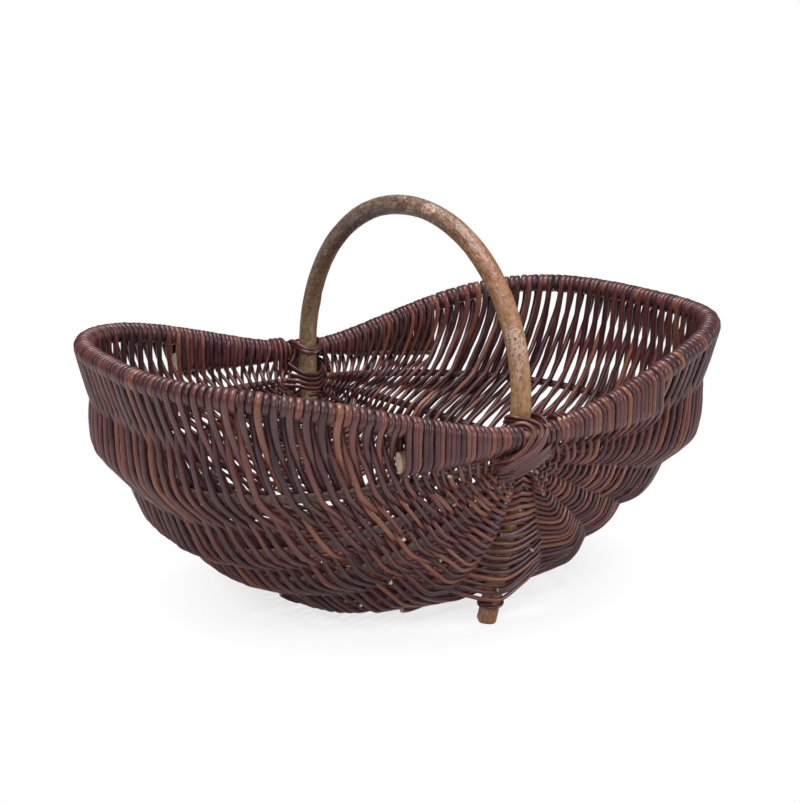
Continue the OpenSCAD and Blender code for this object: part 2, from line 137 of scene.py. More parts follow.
def through(points, step=STEP):
    """Smooth line through a few points."""
    p = np.asarray(points, float)
    p = np.vstack([2 * p[0] - p[1], p, 2 * p[-1] - p[-2]])
    out = []
    for a, b, c, d in zip(p, p[1:], p[2:], p[3:]):
        n = max(2, int(np.linalg.norm(c - b) / step * 2))
        u = np.linspace(0, 1, n, endpoint=False)[:, None]
        out.append(0.5 * (2 * b + (c - a) * u + (2 * a - 5 * b + 4 * c - d) * u**2
                          + (3 * b - a - 3 * c + d) * u**3))
    line = np.vstack(out + [p[-2][None]])
    return resample(line, evenly(line, step))


def wobble(run, size, length):
    """Smooth random wandering along a run, with about that wavelength."""
    out = np.zeros_like(run)
    for share, k in ((0.6, 1.0), (0.3, 2.3), (0.15, 4.1)):
        out += share * np.sin(2 * np.pi * run * k / length + rng.uniform(0, 2 * np.pi))
    return out * size


# ---------------------------------------------------------------- lines of the basket
def rim_z(x):
    end = np.where(x < 0, RIM_LEFT_Z, RIM_RIGHT_Z)
    u = np.clip(np.abs(x) / HALF_L, 0, 1) ** RIM_RISE
    return mix(RIM_EAR_Z, end, 0.5 - 0.5 * np.cos(np.pi * u))


def rim_half(side):
    a = np.linspace(0, np.pi, 1441)
    x = side * HALF_L * np.abs(np.sin(a)) ** (2 / RIM_SQUARENESS)
    y = -HALF_W * spow(np.cos(a), 2 / RIM_SQUARENESS)
    return np.stack([x, y, rim_z(x)], -1)


def quadrant(table, x, back):
    return table[back][0 if x < 0 else 1]


def band_drop(x, back):
    """How far the band round rim and short rod hangs below the rim at x."""
    return 1.0 + quadrant(BAND_SLOPE, x, back) * max(abs(x) - BAND_START, 0)


def rim_y(x, back):
    return back * HALF_W * (1 - (np.abs(x) / HALF_L) ** RIM_SQUARENESS) ** (1 / RIM_SQUARENESS)


def set_handle(p):
    x = math.tan(LEAN) * (p[:, 2] - LEAN_MID_Z)
    c, s = math.cos(TURN), math.sin(TURN)
    return np.stack([FOOT_SHIFT + x * c - p[:, 1] * s, x * s + p[:, 1] * c, p[:, 2]], -1)


def leg_line(z, back):
    z = np.asarray(z, float)
    reach = HANDLE_REACH + (BACK_REACH if back > 0 else 0)
    inward = (reach - FOOT_REACH) * np.clip(1 - z / BOW_START_Z, 0, 1) ** LEG_CURVE
    return set_handle(np.stack([0 * z, back * (reach - inward), z], -1))


def handle_line():
    z = np.linspace(0, BOW_START_Z, 60, endpoint=False)
    a = np.linspace(0, np.pi, 200)
    reach = HANDLE_REACH + np.where(a > np.pi / 2, BACK_REACH, 0)
    bow = np.stack([0 * a, -spow(np.cos(a), 0.98) * reach,
                    BOW_START_Z + (BOW_TOP - BOW_START_Z) * np.abs(np.sin(a)) ** 0.98], -1)
    return np.vstack([leg_line(z, -1), set_handle(bow), leg_line(z, 1)[::-1]])


def rib_line(i, side):
    a = np.radians(np.clip(np.linspace(0, 180, 721), 0.001, 179.999))
    bx, bz, by = RIB_BEND[side][i]
    s, y = np.sin(a), -EAR_REACH * spow(np.cos(a), by)
    x = FOOT_SHIFT + side * (RIB_START + (HALF_L - RIB_INSET[side][i] - RIB_START) * s**bx)
    return np.stack([x - y * math.tan(TURN), y,
                     RIB_TIP_Z[i] - (RIB_TIP_Z[i] - RIB_Z[side][i]) * s**bz], -1)


def keel_line(t):
    near = np.minimum(t, 1 - t)
    z = mix(RIB_TIP_Z[0], WEAVE_LOW_Z, np.clip(near / LEG_SHARE, 0, 1))
    legs = np.where((t < 0.5)[:, None], leg_line(z, -1), leg_line(z, 1))
    v = (t - 0.5) / (0.5 - LEG_SHARE)
    belly = np.stack([FOOT_SHIFT + 0 * t, BELLY_REACH * v,
                      BELLY_Z + (WEAVE_LOW_Z - BELLY_Z) * np.abs(v) ** 4], -1)
    return np.where((near < LEG_SHARE)[:, None], legs, belly)


def longitude(j):
    if j == LEG:
        return keel_line(GRID)
    side = -1 if j < LEG else 1
    if j in (0, LAST):
        return resample(rim_half(side), GRID)
    return resample(rib_line(j - 1 if j < LEG else 9 - j, side), GRID)


LINES = [longitude(j) for j in range(LAST + 1)]
OUTWARD = [unit(np.cross(np.gradient(LINES[j], axis=0),
                         LINES[min(j + 1, LAST)] - LINES[max(j - 1, 0)])) for j in range(LAST + 1)]


def row_places():
    """Shares of the rim's run where the rows cross it, closer together near the ears."""
    whole = run_of(LINES[0])[-1]
    near = np.minimum(GRID * whole / 150, (1 - GRID) * whole / 170)
    pitch = mix(PITCH_EAR, mix(PITCH_FRONT, PITCH_BACK, smooth(GRID * 2 - 0.5)), smooth((near - 0.8) / 0.3))
    count = np.concatenate([[0], np.cumsum(whole * np.diff(GRID) / pitch[1:])])
    low, high = np.interp([EAR_GAP / whole, 1 - EAR_GAP / whole], GRID, count)
    n = int(high - low)
    return np.interp(low + (np.arange(n) + 0.5) * (high - low) / n, count, GRID)


PLACES = row_places()
ROWS = len(PLACES)
FRONT_ROWS, BACK_ROWS = int(np.sum(PLACES < LEG_SHARE)), int(np.sum(PLACES > 1 - LEG_SHARE))


def leaning(near, deep, behind):
    """Lower down the rows lean toward the ears, more so on the far side."""
    return near - LEAN_OF_ROWS[behind] * min(1, 1.9 * deep) * math.sin(2 * math.pi * near)


def row_share(k, j):
    """Share of the run where row k crosses rod j. On the legs the rows are evenly spaced,
    and on the ribs next to them they keep about the same heights."""
    k = min(max(k, 0), ROWS - 1)
    behind = k > ROWS / 2
    i, n = (ROWS - 1 - k, BACK_ROWS) if behind else (k, FRONT_ROWS)
    if j == LEG:
        near = LEG_SHARE * (i + 0.5) / n
    else:
        places = 1 - PLACES[::-1] if behind else PLACES
        deep = min(j, LAST - j)
        near = leaning(places[i], deep / 4, behind)
        if i < n:
            z = LINES[j][::-1, 2] if behind else LINES[j][:, 2]
            end = leaning(places[n], deep / 4, behind)
            shares = np.linspace(0, end, 60)
            heights = np.interp(shares, GRID, z)
            wanted = mix(heights[0], heights[-1], (i + 0.5) / n)
            even = np.interp(-wanted, -heights, shares)
            near = mix(near, even, LEVEL_ROWS[deep])
    return 1 - near if behind else near


def at(table, j, t):
    return np.array([np.interp(t, GRID, table[j][:, i]) for i in range(3)])


def rod_radius(j, t):
    if j == LEG:
        return HANDLE_R
    return mix(RIB_TIP_R, RIB_R, min(1, min(t, 1 - t) * 600 / RIB_TIP_LENGTH))


# ---------------------------------------------------------------- strands
class Strand:
    """A rod or weaver: its line, the outward direction at each point, and its half
    width and half thickness there."""

    def __init__(self, path, normal, wide, thick, tone, sides=STRAND_SIDES, square=1.0):
        n = len(path)
        self.path, self.normal = np.asarray(path, float), np.broadcast_to(normal, (n, 3))
        self.wide, self.thick = np.broadcast_to(wide, n), np.broadcast_to(thick, n)
        self.square = np.broadcast_to(square, n)[:, None]
        self.tone, self.sides = tone, sides


def frames(path, normal):
    tangent = unit(np.gradient(path, axis=0))
    n = unit(normal - tangent * dot(normal, tangent))
    return tangent, n, np.cross(tangent, n)


def carried(path, start):
    """Directions across a free line that turn no more than the line does."""
    tangent = unit(np.gradient(path, axis=0))
    out = [np.asarray(start, float)]
    for t in tangent:
        v = out[-1] - t * np.dot(out[-1], t)
        out.append(v / max(np.linalg.norm(v), 1e-9))
    return np.array(out[1:])


def build_mesh(name, strands, materials):
    """One object from many strands, with flat cut ends in the second material."""
    verts, faces, kinds, tones, grains, starts = [], [], [], [], [], 0
    for number, s in enumerate(strands):
        _, n, b = frames(s.path, s.normal)
        a = 2 * np.pi * np.arange(s.sides)[None, :] / s.sides
        across, along = spow(np.cos(a), s.square), spow(np.sin(a), s.square)
        ring = (s.path[:, None] + n[:, None] * (across * s.thick[:, None])[..., None]
                + b[:, None] * (along * s.wide[:, None])[..., None])
        ring[..., 2] = np.maximum(ring[..., 2], FLOOR_GAP)
        count, k = len(s.path), s.sides
        ends = np.concatenate([ring[:1], ring[-1:]])
        block = np.concatenate([ring, ends]).reshape(-1, 3)
        index = starts + np.arange(count * k).reshape(count, k)
        turned = np.roll(index, -1, axis=1)
        quads = np.stack([index[:-1], turned[:-1], turned[1:], index[1:]], -1).reshape(-1, 4)
        first = starts + count * k
        faces += quads.tolist()
        faces += [list(range(first + k - 1, first - 1, -1)), list(range(first + k, first + 2 * k))]
        kinds += [0] * len(quads) + [1, 1]
        run = run_of(s.path)
        spread = np.stack([np.broadcast_to(run[:, None], (count, k)) + 977.0 * number,
                           np.broadcast_to(4 * np.cos(a), (count, k)),
                           np.broadcast_to(4 * np.sin(a), (count, k))], -1)
        grains.append(np.concatenate([spread, spread[:1], spread[-1:]]).reshape(-1, 3))
        tones.append(np.full(len(block), s.tone))
        verts.append(block)
        starts += len(block)
    mesh = bpy.data.meshes.new(name)
    mesh.from_pydata((np.concatenate(verts) * METRE).tolist(), [], faces)
    mesh.polygons.foreach_set("material_index", np.array(kinds, np.int32))
    mesh.polygons.foreach_set("use_smooth", np.array(kinds) == 0)
    mesh.attributes.new("tone", "FLOAT", "POINT").data.foreach_set("value", np.concatenate(tones))
    mesh.attributes.new("grain", "FLOAT_VECTOR", "POINT").data.foreach_set(
        "vector", (np.concatenate(grains) * METRE).ravel())
    for m in materials:
        mesh.materials.append(m)
    mesh.update()
    piece = bpy.data.objects.new(name, mesh)
    bpy.context.scene.collection.objects.link(piece)
    return piece


def finish_piece(piece, slot, *nodes):
    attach(piece, "root")
    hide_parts(*nodes)
    return piece


# ---------------------------------------------------------------- materials
def new_material(name):
    m = bpy.data.materials.new(name)
    m.use_nodes = True
    tree = m.node_tree
    tree.nodes.clear()
    shader = tree.nodes.new("ShaderNodeBsdfPrincipled")
    out = tree.nodes.new("ShaderNodeOutputMaterial")
    tree.links.new(shader.outputs[0], out.inputs[0])
    return m, tree, shader


def add(tree, kind, props=None, **inputs):
    """A node with its properties set and its inputs set or linked."""
    node = tree.nodes.new("ShaderNode" + kind)
    for key, value in (props or {}).items():
        setattr(node, key, value)
    for key, value in inputs.items():
        socket = node.inputs[int(key[1:])] if key[0] == "i" and key[1:].isdigit() else node.inputs[key.replace("_", " ")]
        if isinstance(value, bpy.types.NodeSocket):
            tree.links.new(value, socket)
        else:
            socket.default_value = value
    return node


def ramp(tree, value, stops, mode="LINEAR"):
    node = add(tree, "ValToRGB", Fac=value)
    node.color_ramp.interpolation = mode
    while len(node.color_ramp.elements) < len(stops):
        node.color_ramp.elements.new(0.5)
    for element, (place, colour) in zip(node.color_ramp.elements, stops):
        element.position, element.color = place, (*colour, 1)
    return node.outputs[0]


def blend(tree, fac, a, b, mode="MIX"):
    node = tree.nodes.new("ShaderNodeMix")
    node.data_type, node.blend_type = "RGBA", mode
    for socket, value in ((node.inputs[0], fac), (node.inputs[6], a), (node.inputs[7], b)):
        if isinstance(value, bpy.types.NodeSocket):
            tree.links.new(value, socket)
        else:
            socket.default_value = (*value, 1) if isinstance(value, tuple) else value
    return node.outputs[2]


def scaled(tree, vector, x, y, z):
    return add(tree, "Mapping", Vector=vector, Scale=(x, y, z)).outputs[0]


def noise(tree, vector, scale, detail=3.0, rough=0.55):
    return add(tree, "TexNoise", Vector=vector, Scale=scale, Detail=detail, Roughness=rough).outputs[0]


def level(tree, value, low, high, to_low=0.0, to_high=1.0):
    return add(tree, "MapRange", Value=value, i1=low, i2=high, i3=to_low, i4=to_high).outputs[0]


def bump(tree, height, strength, distance, normal=None):
    inputs = {"Height": height, "Strength": strength, "Distance": distance}
    if normal is not None:
        inputs["Normal"] = normal
    return add(tree, "Bump", **inputs).outputs[0]


def weaver_bark():
    """Brown willow bark: each strand its own tone, drawn-out grain, fine specks, a satin skin."""
    m, tree, shader = new_material("weaver_bark")
    tone = add(tree, "Attribute", {"attribute_name": "tone"}).outputs["Fac"]
    grain = add(tree, "Attribute", {"attribute_name": "grain"}).outputs["Vector"]
    base = ramp(tree, tone, [
        (0.00, (0.052, 0.014, 0.017)), (0.25, (0.080, 0.020, 0.023)), (0.50, (0.108, 0.028, 0.029)),
        (0.70, (0.140, 0.038, 0.035)), (0.86, (0.185, 0.055, 0.042)), (0.94, (0.235, 0.078, 0.040)),
        (0.98, (0.170, 0.078, 0.050)), (1.00, (0.230, 0.130, 0.076))])
    patches = noise(tree, scaled(tree, grain, 14, 60, 60), 1.0, 4)
    base = blend(tree, level(tree, patches, 0.40, 0.70), base, blend(tree, 1.0, base, (0.50, 0.40, 0.46), "MULTIPLY"))
    bloom = noise(tree, scaled(tree, grain, 45, 130, 130), 1.0, 5)
    base = blend(tree, level(tree, bloom, 0.54, 0.80, 0, 0.32), base, (0.235, 0.120, 0.110))
    fibres = noise(tree, scaled(tree, grain, 60, 900, 900), 1.0, 3)
    base = blend(tree, level(tree, fibres, 0.35, 0.75, 0, 0.45), base, blend(tree, 1.0, base, (0.40, 0.33, 0.36), "MULTIPLY"))
    specks = add(tree, "TexVoronoi", Vector=scaled(tree, grain, 220, 520, 520), Scale=1.0).outputs["Distance"]
    base = blend(tree, level(tree, specks, 0.0, 0.13, 0.45, 0), base, (0.30, 0.20, 0.17))
    tree.links.new(base, shader.inputs["Base Color"])
    tree.links.new(level(tree, patches, 0.3, 0.75, 0.30, 0.52), shader.inputs["Roughness"])
    shader.inputs["Specular IOR Level"].default_value = 0.5
    shader.inputs["Coat Weight"].default_value = 0.10
    shader.inputs["Coat Roughness"].default_value = 0.22
    n = bump(tree, fibres, 0.35, 0.0004)
    n = bump(tree, patches, 0.30, 0.0012, n)
    tree.links.new(bump(tree, specks, 0.20, 0.0004, n), shader.inputs["Normal"])
    return m


def cut_wood():
    """Fresh cut face: cream wood with darker patches and rough fibres."""
    m, tree, shader = new_material("cut_wood")
    place = add(tree, "TexCoord").outputs["Object"]
    cloud = noise(tree, place, 260, 4)
    fine = noise(tree, place, 1600, 2)
    base = ramp(tree, cloud, [(0.25, (0.40, 0.26, 0.16)), (0.5, (0.60, 0.45, 0.31)), (0.8, (0.76, 0.62, 0.46))])
    tree.links.new(base, shader.inputs["Base Color"])
    shader.inputs["Roughness"].default_value = 0.75
    tree.links.new(bump(tree, fine, 0.5, 0.0005), shader.inputs["Normal"])
    return m


def rib_bark():
    """Thicker brown rods, shaved to pale wood at both tips, where the shaved attribute is high."""
    m, tree, shader = new_material("rib_bark")
    grain = add(tree, "Attribute", {"attribute_name": "grain"}).outputs["Vector"]
    shaved = add(tree, "Attribute", {"attribute_name": "shaved"}).outputs["Fac"]
    cloud = noise(tree, scaled(tree, grain, 25, 120, 120), 1.0, 4)
    fibres = noise(tree, scaled(tree, grain, 30, 700, 700), 1.0, 3)
    dark = ramp(tree, cloud, [(0.3, (0.040, 0.018, 0.016)), (0.55, (0.075, 0.035, 0.029)), (0.8, (0.12, 0.062, 0.045))])
    pale = ramp(tree, fibres, [(0.3, (0.22, 0.12, 0.07)), (0.55, (0.36, 0.23, 0.145)), (0.8, (0.50, 0.36, 0.25))])
    edge = add(tree, "Math", {"operation": "ADD"}, i0=shaved, i1=level(tree, cloud, 0.3, 0.7, -0.25, 0.25)).outputs[0]
    base = blend(tree, level(tree, edge, 0.45, 0.6), dark, pale)
    tree.links.new(base, shader.inputs["Base Color"])
    tree.links.new(level(tree, cloud, 0.3, 0.8, 0.45, 0.65), shader.inputs["Roughness"])
    tree.links.new(bump(tree, fibres, 0.4, 0.0006), shader.inputs["Normal"])
    return m


def rod_bark():
    """Peeled straw-brown rods under the wrapping."""
    m, tree, shader = new_material("rod_wood")
    grain = add(tree, "Attribute", {"attribute_name": "grain"}).outputs["Vector"]
    cloud = noise(tree, scaled(tree, grain, 20, 90, 90), 1.0, 4)
    fibres = noise(tree, scaled(tree, grain, 25, 600, 600), 1.0, 3)
    base = ramp(tree, cloud, [(0.3, (0.13, 0.075, 0.045)), (0.55, (0.24, 0.15, 0.09)), (0.8, (0.36, 0.24, 0.15))])
    base = blend(tree, level(tree, fibres, 0.4, 0.75, 0, 0.5), base, (0.14, 0.08, 0.05))
    tree.links.new(base, shader.inputs["Base Color"])
    shader.inputs["Roughness"].default_value = 0.6
    tree.links.new(bump(tree, fibres, 0.4, 0.0006), shader.inputs["Normal"])
    return m


def handle_bark():
    """Bark of the thick handle rod: grey-brown on the bow, orange-brown down the front,
    yellow-olive at the ears and on the legs, with streaks, pores, scars and a rough skin."""
    m, tree, shader = new_material("handle_bark")
    share = add(tree, "Attribute", {"attribute_name": "share"}).outputs["Fac"]
    scar = add(tree, "Attribute", {"attribute_name": "scar"}).outputs["Fac"]
    grain = add(tree, "Attribute", {"attribute_name": "grain"}).outputs["Vector"]
    base = ramp(tree, share, HANDLE_TONES)
    cloud = noise(tree, scaled(tree, grain, 22, 70, 70), 1.0, 5)
    base = blend(tree, level(tree, cloud, 0.35, 0.75, 0, 0.75), base, blend(tree, 1.0, base, (0.58, 0.50, 0.46), "MULTIPLY"))
    pale = noise(tree, scaled(tree, grain, 60, 160, 160), 1.0, 5)
    base = blend(tree, level(tree, pale, 0.52, 0.74, 0, 0.50), base, (0.46, 0.32, 0.22))
    streaks = noise(tree, scaled(tree, grain, 18, 480, 480), 1.0, 4)
    base = blend(tree, level(tree, streaks, 0.42, 0.72, 0, 0.45), base, blend(tree, 1.0, base, (0.50, 0.42, 0.38), "MULTIPLY"))
    pores = add(tree, "TexVoronoi", Vector=scaled(tree, grain, 190, 420, 420), Scale=1.0).outputs["Distance"]
    base = blend(tree, level(tree, pores, 0.02, 0.20, 0.75, 0), base, (0.05, 0.028, 0.020))
    crust = noise(tree, scaled(tree, grain, 420, 480, 480), 1.0, 3)
    rough_patch = add(tree, "Math", {"operation": "ADD"}, i0=scar, i1=level(tree, crust, 0.3, 0.7, -0.28, 0.28)).outputs[0]
    base = blend(tree, level(tree, rough_patch, 0.36, 0.52, 0, 0.85), base, (0.50, 0.32, 0.23))
    dark_crust = add(tree, "Math", {"operation": "MULTIPLY"}, i0=level(tree, scar, 0.22, 0.5), i1=level(tree, crust, 0.49, 0.38)).outputs[0]
    base = blend(tree, dark_crust, base, (0.11, 0.05, 0.035))
    mottle = noise(tree, scaled(tree, grain, 260, 300, 300), 1.0, 3)
    base = blend(tree, level(tree, mottle, 0.52, 0.70, 0, 0.45), base, (0.44, 0.31, 0.22))
    base = blend(tree, level(tree, mottle, 0.48, 0.30, 0, 0.75), base, blend(tree, 1.0, base, (0.45, 0.38, 0.34), "MULTIPLY"))
    tree.links.new(base, shader.inputs["Base Color"])
    tree.links.new(level(tree, cloud, 0.3, 0.75, 0.38, 0.60), shader.inputs["Roughness"])
    shader.inputs["Specular IOR Level"].default_value = 0.60
    n = bump(tree, streaks, 0.50, 0.0012)
    n = bump(tree, pale, 0.55, 0.0020, n)
    n = bump(tree, mottle, 0.50, 0.0010, n)
    tree.links.new(bump(tree, pores, 0.65, 0.0008, n), shader.inputs["Normal"])
    return m


# Colours along the handle from the front foot over the bow to the back foot
HANDLE_TONES = [
    (0.000, (0.40, 0.175, 0.085)), (0.025, (0.40, 0.180, 0.085)), (0.060, (0.45, 0.240, 0.080)),
    (0.170, (0.46, 0.265, 0.085)), (0.225, (0.49, 0.262, 0.105)), (0.290, (0.47, 0.245, 0.110)),
    (0.330, (0.36, 0.165, 0.070)), (0.380, (0.28, 0.125, 0.058)), (0.460, (0.180, 0.098, 0.060)),
    (0.540, (0.150, 0.087, 0.062)), (0.660, (0.205, 0.125, 0.076)), (0.740, (0.265, 0.165, 0.088)),
    (0.850, (0.290, 0.195, 0.085)), (1.000, (0.300, 0.190, 0.090)),
]
CUT = cut_wood()
WEAVER = weaver_bark()


# ---------------------------------------------------------------- woven rows
def outside(j, k, belly):
    """True where row k passes outside rod j. Rows take turns, and so do rods."""
    return (j + k + (1 if belly and j > LEG else 0)) % 2 == 0


def rim_frame(j, t):
    """Middle, run, outward and upward directions of the rim's section."""
    c = at(LINES, j, t)
    run = unit(at(LINES, j, min(t + 0.004, 1)) - at(LINES, j, max(t - 0.004, 0)))
    out = np.array([c[0], c[1], 0.0])
    out = unit(out - run * np.dot(out, run))
    up = np.cross(run, out)
    return c, run, out, up * np.sign(up[2])


def rim_hook(j, t, sign, toward):
    """The last bit of a row, which wraps the rim, from its free end to where it leaves
    the rim again. Beside the ears it wraps the short rod as well."""
    c, run, out, up = rim_frame(j, t)
    back = math.copysign(1, c[1])
    low = c
    if abs(c[0]) < quadrant(SHORT_REACH, c[0], back) - SHORT_SHOW and abs(c[1]) > HALF_W / 2:
        low = c - Z_UP * band_drop(c[0], back)
    across = toward - low
    down = math.atan2(np.dot(across, up), np.dot(across, out))
    down = down if down < 0 else down - 2 * np.pi
    rho = RIM_R + WRAP_T / 2
    start = down + sign * HOOK_START
    stop = start + sign * HOOK_TURN
    tops = (0.0, np.pi) if sign > 0 else (-np.pi, -2 * np.pi)
    points, radial, lean = [], [], []
    for centre, a, b in ((low, start, tops[0]), (c, tops[0], tops[1]), (low, tops[1], stop)):
        if (b - a) * sign <= 0:
            continue
        for th in np.linspace(a, b, max(2, int(abs(b - a) * rho / 2.6) + 1)):
            d = math.cos(th) * out + math.sin(th) * up
            turned = th if sign > 0 else th + 2 * np.pi
            points.append(centre + rho * d + run * HOOK_LEAN * turned / np.pi)
            radial.append(d * sign)
    points, radial = np.array(points), np.array(radial)
    shares = evenly(points, 2.6)
    return resample(points, shares)[::-1], unit(resample_like(points, radial, shares))[::-1]


def resample_like(points, values, shares):
    run = run_of(points)
    return np.stack([np.interp(shares * run[-1], run, values[:, i]) for i in range(3)], -1)


# Where a wrap leaves the rim, how far it goes round, and how far it leans over half a turn
HOOK_START, HOOK_TURN, HOOK_LEAN = math.radians(74), math.radians(302), 0.7


def row_line(k):
    """Line, outward directions, flatness and size of one row, from wrap to wrap."""
    t0 = PLACES[k]
    belly = LEG_SHARE < t0 < 1 - LEG_SHARE
    rods = [j for j in range(LAST + 1) if not (belly and j == LEG)]
    near_ear = min(k, ROWS - 1 - k) + 0.5
    drift = rng.normal(0, 0.09, len(rods)) / ROWS * min(1, near_ear / 5)
    ts = np.clip([row_share(k, j) + d for j, d in zip(rods, drift)], 0.001, 0.999)
    place = [at(LINES, j, t) for j, t in zip(rods, ts)]
    normal = [at(OUTWARD, j, t) for j, t in zip(rods, ts)]
    sign = [1 if outside(j, k, belly) else -1 for j in rods]
    pitch = [np.linalg.norm(at(LINES, j, row_share(k + 1, j)) - at(LINES, j, row_share(k - 1, j))) / 2 for j in rods]
    r = WEAVER_R * (0.99 if t0 < 0.5 else 0.96) * rng.uniform(0.86, 1.12)
    most = [1.24 if belly and j in (LEG - 1, LEG + 1) else 1.10 for j in rods]
    size = [r * (0.80 if j == LEG else np.clip(p / 5.4, 0.76, m)) for j, p, m in zip(rods, pitch, most)]
    off = [s * (rod_radius(j, t) + q * 0.96) for s, j, t, q in zip(sign, rods, ts, size)]
    path, norms, flat, girth = [], [], [], []

    def link(hook, hook_n, index, step):
        """From a wrap to the first rod, leaving both along their own directions."""
        p1 = place[index] + off[index] * normal[index]
        p0 = hook[-1]
        d0 = unit(hook[-1] - hook[-2])
        d1 = unit(place[index + step] - place[index - step])
        span = np.linalg.norm(p1 - p0)
        n = max(4, int(span / STEP) + 1)
        u = np.linspace(0, 1, n)[1:-1, None]
        h = [2 * u**3 - 3 * u**2 + 1, u**3 - 2 * u**2 + u, 3 * u**2 - 2 * u**3, u**3 - u**2]
        line = h[0] * p0 + h[1] * d0 * span * 0.8 + h[2] * p1 + h[3] * d1 * span * 0.8
        return line, unit(mix(hook_n[-1], normal[index], smooth(u))), 1 - smooth(u[:, 0] * 1.6)

    hook, hook_n = rim_hook(0, ts[0], sign[0], place[1])
    line, line_n, line_f = link(hook, hook_n, 1, 1)
    path += [hook, line]
    norms += [hook_n, line_n]
    flat += [np.ones(len(hook)), line_f]
    girth += [np.full(len(hook) + len(line), size[1])]
    for i in range(1, len(rods) - 2):
        a, b = place[i], place[i + 1]
        n = max(4, int(np.linalg.norm(b - a) / STEP) + 1)
        u = np.linspace(0, 1, n, endpoint=False)[:, None]
        base = mix(a, b, u)
        if belly and rods[i] == 4:
            low = at(LINES, LEG, t0)
            base = base + 4 * u * (1 - u) * 0.95 * (low - (a + b) / 2)
        nn = unit(mix(normal[i], normal[i + 1], u))
        path.append(base + nn * mix(off[i], off[i + 1], smooth(u)))
        norms.append(nn)
        flat.append(np.zeros(n))
        girth.append(mix(size[i], size[i + 1], u[:, 0]))
    end, end_n = rim_hook(LAST, ts[-1], sign[-1], place[-2])
    line, line_n, line_f = link(end, end_n, len(rods) - 2, -1)
    path += [(place[-2] + off[-2] * normal[-2])[None], line[::-1], end[::-1]]
    norms += [normal[-2][None], line_n[::-1], end_n[::-1]]
    flat += [np.zeros(1), line_f[::-1], np.ones(len(end))]
    girth += [np.full(1 + len(line) + len(end), size[-2])]
    path, norms, flat, girth = np.vstack(path), np.vstack(norms), np.concatenate(flat), np.concatenate(girth)
    for _ in range(3):
        soft = path.copy()
        soft[1:-1] = 0.25 * path[:-2] + 0.5 * path[1:-1] + 0.25 * path[2:]
        path = mix(path, soft, (flat < 0.5)[:, None] * 1.0)
    run = run_of(path)
    _, nn, bb = frames(path, norms)
    loose = (1 - flat) * smooth(near_ear / 8 + 0.2)
    path = path + bb * (wobble(run, 0.6, 75) * loose)[:, None] + nn * (wobble(run, 0.35, 60) * loose)[:, None]
    wrap = mix(pitch[0], pitch[-1], run / run[-1]) * WRAP_SHARE
    return path, norms, flat, girth, wrap


# Half width of a wrap as a share of the distance to the next one
WRAP_SHARE = 0.495
NEW_WEAVER_SHARE = 0.55
TONE_TOP = 0.97


def row_strands(k):
    """A row as one strand, or as two where a new weaver was laid in."""
    path, norms, flat, girth, wrap = row_line(k)
    run = run_of(path)
    wide = mix(girth * (1 + wobble(run, 0.05, 90)), wrap * rng.uniform(0.95, 1.03), flat)
    thick = mix(girth * 0.94 * (1 + wobble(run, 0.04, 70)), WRAP_T / 2 * rng.uniform(0.85, 1.12), flat)
    square = mix(0.92, 0.72, flat)
    tone = TONE_TOP * rng.uniform(0.0, 1.0) ** 1.1
    whole = len(path)
    if rng.uniform() > NEW_WEAVER_SHARE or run[-1] < 260:
        return [Strand(path, norms, wide, thick, tone, square=square)]
    cut = int(whole * rng.uniform(0.25, 0.75))
    lap = 7
    a, b = slice(0, cut + lap), slice(cut - lap, whole)
    _, nn, bb = frames(path, norms)
    fade = smooth(np.clip(1 - np.arange(whole - cut + lap) / 14, 0, 1))[:, None]
    taper = np.clip((cut + lap - np.arange(cut + lap)) / 30, 0.35, 1)
    shift = bb[b] * (2.6 * fade) + nn[b] * (rng.choice([-1, 1]) * 2.2 * fade)
    return [Strand(path[a], norms[a], wide[a] * taper, thick[a] * taper, tone, square=square[a]),
            Strand(path[b] + shift, norms[b], wide[b] * 1.05, thick[b] * 1.05, TONE_TOP * rng.uniform(0, 1), square=square[b])]


def weave():
    groups = {"front": [], "middle": [], "back": []}
    for k in range(ROWS):
        t = PLACES[k]
        where = "front" if t < LEG_SHARE else "back" if t > 1 - LEG_SHARE else "middle"
        groups[where] += row_strands(k)
    for where, nodes in (
        ("front", ["weave_front_left", "weave_front_right", "ear_wrap_front"]),
        ("back", ["weave_back_left", "weave_back_right", "ear_wrap_back"]),
        ("middle", ["weave_belly", "rim_wrap_left", "rim_wrap_right"]
         + [f"weave_{side}_{i}" for side in ("left", "right") for i in (1, 2, 3, 4)]),
    ):
        piece = build_mesh(f"weavers_{where}", groups[where], [WEAVER, CUT])
        finish_piece(piece, "brown_weaver", *nodes)


# ---------------------------------------------------------------- rods
def rod(name, line, radius, material, slot, node, sides=14, roughness=0.25, attributes=None):
    """A round rod with a slightly uneven skin."""
    line = resample(line, evenly(line, STEP))
    run = run_of(line)
    r = np.broadcast_to(radius(run, run[-1]) if callable(radius) else radius, len(line)) * (1 + wobble(run, 0.02, 110))
    start = np.array([0.3, 0.2, 1.0])
    strand = Strand(line, carried(line, start), r, r, 0.5, sides=sides)
    piece = build_mesh(name, [strand], [material, CUT])
    if attributes:
        for key, f in attributes.items():
            values = np.repeat(f(run, run[-1]), sides)
            values = np.concatenate([values, np.repeat(f(run, run[-1])[[0, -1]], sides)])
            piece.data.attributes.new(key, "FLOAT", "POINT").data.foreach_set("value", values)
    return finish_piece(piece, slot, node)


